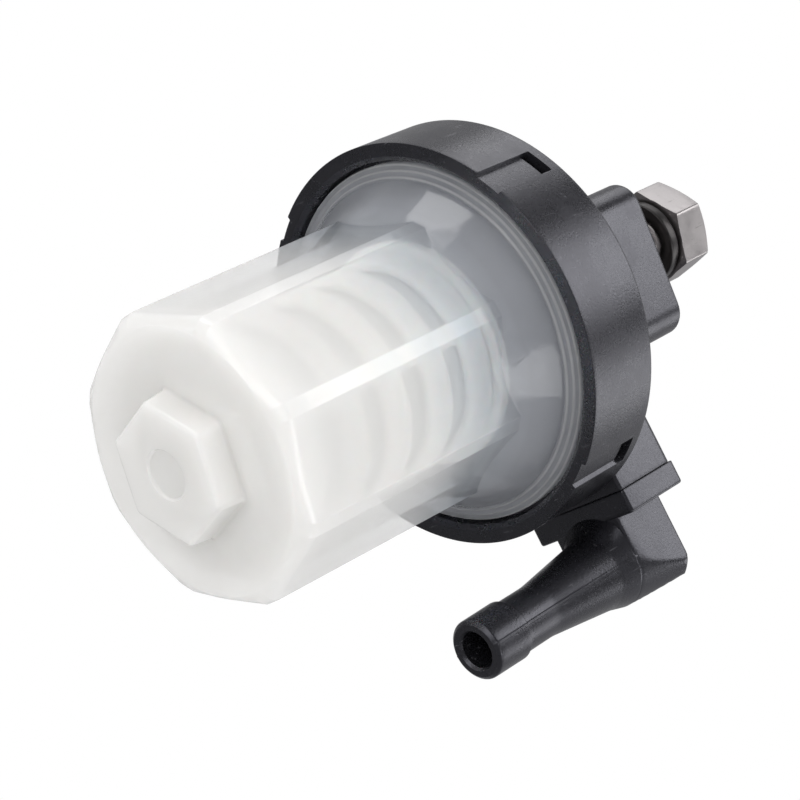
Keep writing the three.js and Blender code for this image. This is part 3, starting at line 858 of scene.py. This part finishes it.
def mesh_sleeve():
    """Cloth sleeve with a shallow pleat between the ribs."""
    outer = CAGE_R - CAGE_T - 0.35
    sleeve_length = CAGE_HIGH - CAGE_LOW

    def shape(radius, angles, z):
        between_ribs = 0.5 - 0.5 * np.cos(RIB_COUNT * angles)
        return radius - PLEAT * between_ribs * math.sin(math.pi * (z - CAGE_LOW) / sleeve_length) ** 2

    wall = [(outer, CAGE_LOW + 0.1), (outer, CAGE_HIGH - 0.1), (outer - 0.45, CAGE_HIGH - 0.1),
            (outer - 0.45, CAGE_LOW + 0.1)]
    profile = refined(wall + wall[:1], 1)[:-1]
    return lathe(profile, circle_angles(144), shape, closed=True)


# ---------- stud, nut, washers ----------
def stud_part():
    profile = rounded_line([(0, -3, 0), (STUD_R, -3, 0), (STUD_R, STUD_TOP - 0.9, 0.1),
                            (STUD_R - 0.9, STUD_TOP, 0.15), (0, STUD_TOP, 0)])

    def shape(radius, angles, z):
        if radius < STUD_R - 0.45 or z < 0.5:
            return radius
        cut = thread(angles, z, STUD_PITCH, 0.62) * min(1, (z - 0.5) / 1.5)
        return np.minimum(radius, STUD_R - cut)

    return lathe(refined(profile, STUD_PITCH / 9), circle_angles(72), shape)


def nut_part():
    corner = NUT_AF / math.sqrt(3)
    phases = [math.radians(NUT_PHASE + 60 * k) for k in range(6)]
    near = [math.radians(a) for a in (-4, -2.5, -1.5, -0.7, 0, 0.7, 1.5, 2.5, 4)]
    angles = with_edges(circle_angles(72), phases, near)
    hexagon = polygon_radius(angles, 6, corner, 0.5, NUT_PHASE)
    rows = []

    def side(face, sign, flat_r, cone):  # cone: rise of the chamfer per mm of radius
        ends = np.maximum(hexagon - flat_r, 0.05) * cone
        levels = [(flat_r, 0), (flat_r + 0.25, 0.06)]
        out = [ring_row(angles, radius, face + sign * drop) for radius, drop in levels]
        for t in (0.35, 0.7, 0.92, 0.98):
            radii = flat_r + (hexagon - flat_r) * t
            out.append(ring_row(angles, radii, face + sign * (0.06 + ends * t * t * 0.9)))
        out.append(ring_row(angles, hexagon, face + sign * (0.16 + ends)))
        return out

    rows += side(NUT_LOW, 1, 6.35, 0.2)
    rows += [ring_row(angles, hexagon, NUT_LOW + (NUT_HIGH - NUT_LOW) * t) for t in (0.35, 0.5, 0.65)]
    rows += list(reversed(side(NUT_HIGH, -1, 5.9, 0.55)))
    bore = refined([(4.75, NUT_HIGH), (4.2, NUT_HIGH - 0.5), (4.2, NUT_LOW + 0.5), (4.75, NUT_LOW)], 0.16)
    for radius, z in bore:
        cut = thread(angles, z, STUD_PITCH, 0.35) if radius < 4.3 else 0
        rows.append(ring_row(angles, radius + cut, z))
    return skin(rows, closed=True)


def washer_part():
    inner, low = STUD_R + 0.35, reach("mount_washer", 2, 0)
    outer, high = reach("mount_washer", 0, 1), reach("mount_washer", 2, 1)
    profile = rounded_line([(inner, low, 0.15), (outer, low, 0.35), (outer, high, 0.25), (inner, high, 0.2)],
                           closed=True)
    return lathe(profile, circle_angles(120), closed=True)


def lock_washer_part():
    """Split ring whose ends stand slightly apart in height."""
    low, high = reach("lock_washer", 2, 0), reach("lock_washer", 2, 1)
    inner, outer = STUD_R + 0.35, 6.3
    gap = 0.55 / 5.3
    section = rounded_line([(inner, low + 0.15, 0.2), (outer, low + 0.15, 0.25), (outer, high - 0.15, 0.25),
                            (inner, high - 0.15, 0.2)], closed=True, step=30)
    rows = []
    for t in np.linspace(0, 1, 97):
        angle = math.radians(160) + gap + (TAU - 2 * gap) * t
        lift = 0.24 * (t - 0.5)
        rows.append(np.array([(r * math.cos(angle), r * math.sin(angle), z + lift) for r, z in section]))
    return skin(rows)


# ---------- assembly ----------
black = black_nylon()
milky = milky_nylon()
white = white_plastic()
cloth = filter_cloth()
rubber = seal_rubber()
steel = plated_steel()
# the split washer's steel at 0.16 times the colour: painted shade for the shadow between the boss and the nut
painted_shade_spring_steel = plated_steel("painted_shade_spring_steel", 0.16)

plug_ring = bead(4, 0.55, -2.4, 14, 72)
elbow_ring = shifted(along_x(plug_ring), x=PLUG_SHOULDER, z=PASSAGE_Z)
outlet_ring = shifted(along_y(shifted(plug_ring, z=PORT_SHOULDER)), z=PORT_Z)
cup_ring = bead(22.6, 1.3, NECK_TOP + 1.6, 24, 180)
element_ring = bead(SPIGOT_R + 1.2, 0.9, -38.6, 18, 90)

make_piece("head_shell", [head_shell()], black, "head", "head_body")
make_piece("head_boss", [head_boss()], black, "head", "head_body")
make_piece("head_arm", [head_arm()], black, "head", "head_body")
make_piece("head_port", [head_port()], black, "head", "head_body")
make_piece("head_spigot", [head_spigot()], black, "head", "head_body")
make_piece("elbow", elbow_parts(), black, "head", "elbow_fitting")
make_piece("outlet", outlet_parts(), black, "head", "outlet_fitting")
make_piece("elbow_o_ring", [elbow_ring], rubber, "head", "elbow_seal")
make_piece("outlet_o_ring", [outlet_ring], rubber, "head", "outlet_seal")
make_piece("cup_shell", [cup_body()], milky, "cup", "cup")
make_piece("cup_o_ring", [cup_ring], rubber, "cup_lift", "cup_seal")
make_piece("element_head", [element_top()], white, "element", "element_top_cap")
make_piece("element_foot", [element_bottom()], white, "element", "element_bottom_cap")
make_piece("element_frame", cage_parts(), white, "element", "element_cage")
make_piece("element_sleeve", [mesh_sleeve()], cloth, "element", "element_mesh")
make_piece("element_o_ring", [element_ring], rubber, "element", "element_seal")
make_piece("stud", [stud_part()], steel, "head", "mounting_stud")
make_piece("flat_washer", [washer_part()], steel, "head", "mount_washer")
make_piece("split_washer", [lock_washer_part()], painted_shade_spring_steel, "nut_lift", "lock_washer")
make_piece("nut", [nut_part()], steel, "nut", "mounting_nut")


# ---------- camera, light and floor ----------
CAMERA_AT = Vector((0.0036, -0.2129, -0.2401))
RIGHT = Vector((0.4493, -0.5989, 0.6629))
UP = Vector((-0.8934, -0.2984, 0.3359))
BACK = Vector((-0.0034, -0.7431, -0.6691))
TARGET = Vector((0, 0, -0.042))

camera_data = bpy.data.cameras.new("camera")
camera_data.lens = 99
camera_data.sensor_width = 36
camera_data.clip_start = 0.01
camera = bpy.data.objects.new("camera", camera_data)
camera.matrix_world = Matrix.Translation(CAMERA_AT) @ Matrix((RIGHT, UP, BACK)).transposed().to_4x4()
bpy.context.collection.objects.link(camera)
bpy.context.scene.camera = camera


def panel(name, right, up, back, distance, width, height, radiance):
    """Soft light panel, placed from the object by its direction in the photo camera's own axes."""
    data = bpy.data.lights.new(name, "AREA")
    data.shape = "RECTANGLE"
    data.size, data.size_y = width, height
    data.energy = radiance * math.pi * width * height
    light = bpy.data.objects.new(name, data)
    away = (RIGHT * right + UP * up + BACK * back).normalized()
    side = UP.cross(away)
    side = side.normalized() if side.length > 0.1 else RIGHT
    turned = Matrix((side, away.cross(side), away)).transposed().to_4x4()
    light.matrix_world = Matrix.Translation(TARGET + away * distance) @ turned
    light.visible_camera = False
    bpy.context.collection.objects.link(light)


panel("top_panel", 0.26, 0.86, -0.36, 0.8, 0.42, 0.26, 1.9)
panel("right_panel", 0.90, 0.43, 0.0, 0.8, 0.40, 0.42, 2.9)
panel("side_panel", 0.92, -0.24, -0.30, 0.8, 0.34, 0.30, 1.8)
panel("front_panel", -0.31, 0.90, 0.28, 0.6, 0.34, 0.10, 4.2)
panel("key_panel", -0.40, 0.30, 0.85, 0.30, 0.24, 0.24, 1.6)
panel("fill_panel", 0.60, -0.45, 0.55, 0.6, 0.28, 0.28, 2.2)


DIM_REFLECTION = 0.16
BRIGHT_REFLECTION = 0.46
EVEN_LIGHT = 0.88


def studio_world():
    """White to the camera, and one even light on dull surfaces. Shiny surfaces reflect a room that is
    bright behind the object and dim on the camera's side and below."""
    world = bpy.data.worlds.new("studio")
    world.use_nodes = True
    nodes, links = world.node_tree.nodes, world.node_tree.links

    def along(axis, dark_at, bright_at):
        dot = nodes.new("ShaderNodeVectorMath")
        dot.operation = "DOT_PRODUCT"
        links.new(direction, dot.inputs[0])
        dot.inputs[1].default_value = axis
        ramp = nodes.new("ShaderNodeMapRange")
        ramp.interpolation_type = "SMOOTHSTEP"
        links.new(dot.outputs["Value"], ramp.inputs["Value"])
        ramp.inputs["From Min"].default_value = dark_at
        ramp.inputs["From Max"].default_value = bright_at
        return ramp.outputs["Result"]

    direction = nodes.new("ShaderNodeTexCoord").outputs["Generated"]
    behind = along(BACK + UP * 0.45, 0.05, -0.18)
    above = along(Vector((0, 0, 1)), -0.15, 0.1)
    both = nodes.new("ShaderNodeMath")
    both.operation = "MULTIPLY"
    links.new(behind, both.inputs[0])
    links.new(above, both.inputs[1])
    strength = nodes.new("ShaderNodeMapRange")
    links.new(both.outputs["Value"], strength.inputs["Value"])
    strength.inputs["To Min"].default_value = DIM_REFLECTION
    strength.inputs["To Max"].default_value = BRIGHT_REFLECTION
    path = nodes.new("ShaderNodeLightPath")
    even = nodes.new("ShaderNodeMix")  # dull surfaces receive the same soft light from every side
    links.new(path.outputs["Is Glossy Ray"], even.inputs["Factor"])
    even.inputs["A"].default_value = EVEN_LIGHT
    links.new(strength.outputs["Result"], even.inputs["B"])
    room = nodes["Background"]
    room.inputs["Color"].default_value = (0.98, 0.98, 1, 1)
    links.new(even.outputs["Result"], room.inputs["Strength"])
    seen = nodes.new("ShaderNodeBackground")
    seen.inputs["Color"].default_value = (1, 1, 1, 1)
    choose = nodes.new("ShaderNodeMixShader")
    links.new(path.outputs["Is Camera Ray"], choose.inputs["Fac"])
    links.new(room.outputs["Background"], choose.inputs[1])
    links.new(seen.outputs["Background"], choose.inputs[2])
    links.new(choose.outputs["Shader"], nodes["World Output"].inputs["Surface"])
    return world


bpy.context.scene.world = studio_world()
bpy.context.scene.view_settings.view_transform = "Standard"


def floor_look():
    look = Look("pale_floor", IOR=1.4)
    tone = look.noise(6, 3)
    look.feed("Base Color", look.mixed(tone, (0.78, 0.78, 0.77), (0.84, 0.84, 0.83)))
    look.feed("Roughness", look.remap(tone, 0.3, 0.7, 0.75, 0.9))
    return look.material


FLOOR_Z = -0.35
FLOOR_HALF = 4
floor_mesh = bpy.data.meshes.new("floor")
floor_corners = ((-1, -1), (1, -1), (1, 1), (-1, 1))
floor_verts = [(x * FLOOR_HALF, y * FLOOR_HALF, FLOOR_Z) for x, y in floor_corners]
floor_mesh.from_pydata(floor_verts, [], [(0, 1, 2, 3)])
floor_mesh.materials.append(floor_look())
floor = bpy.data.objects.new("floor", floor_mesh)
floor.visible_glossy = False
bpy.context.collection.objects.link(floor)
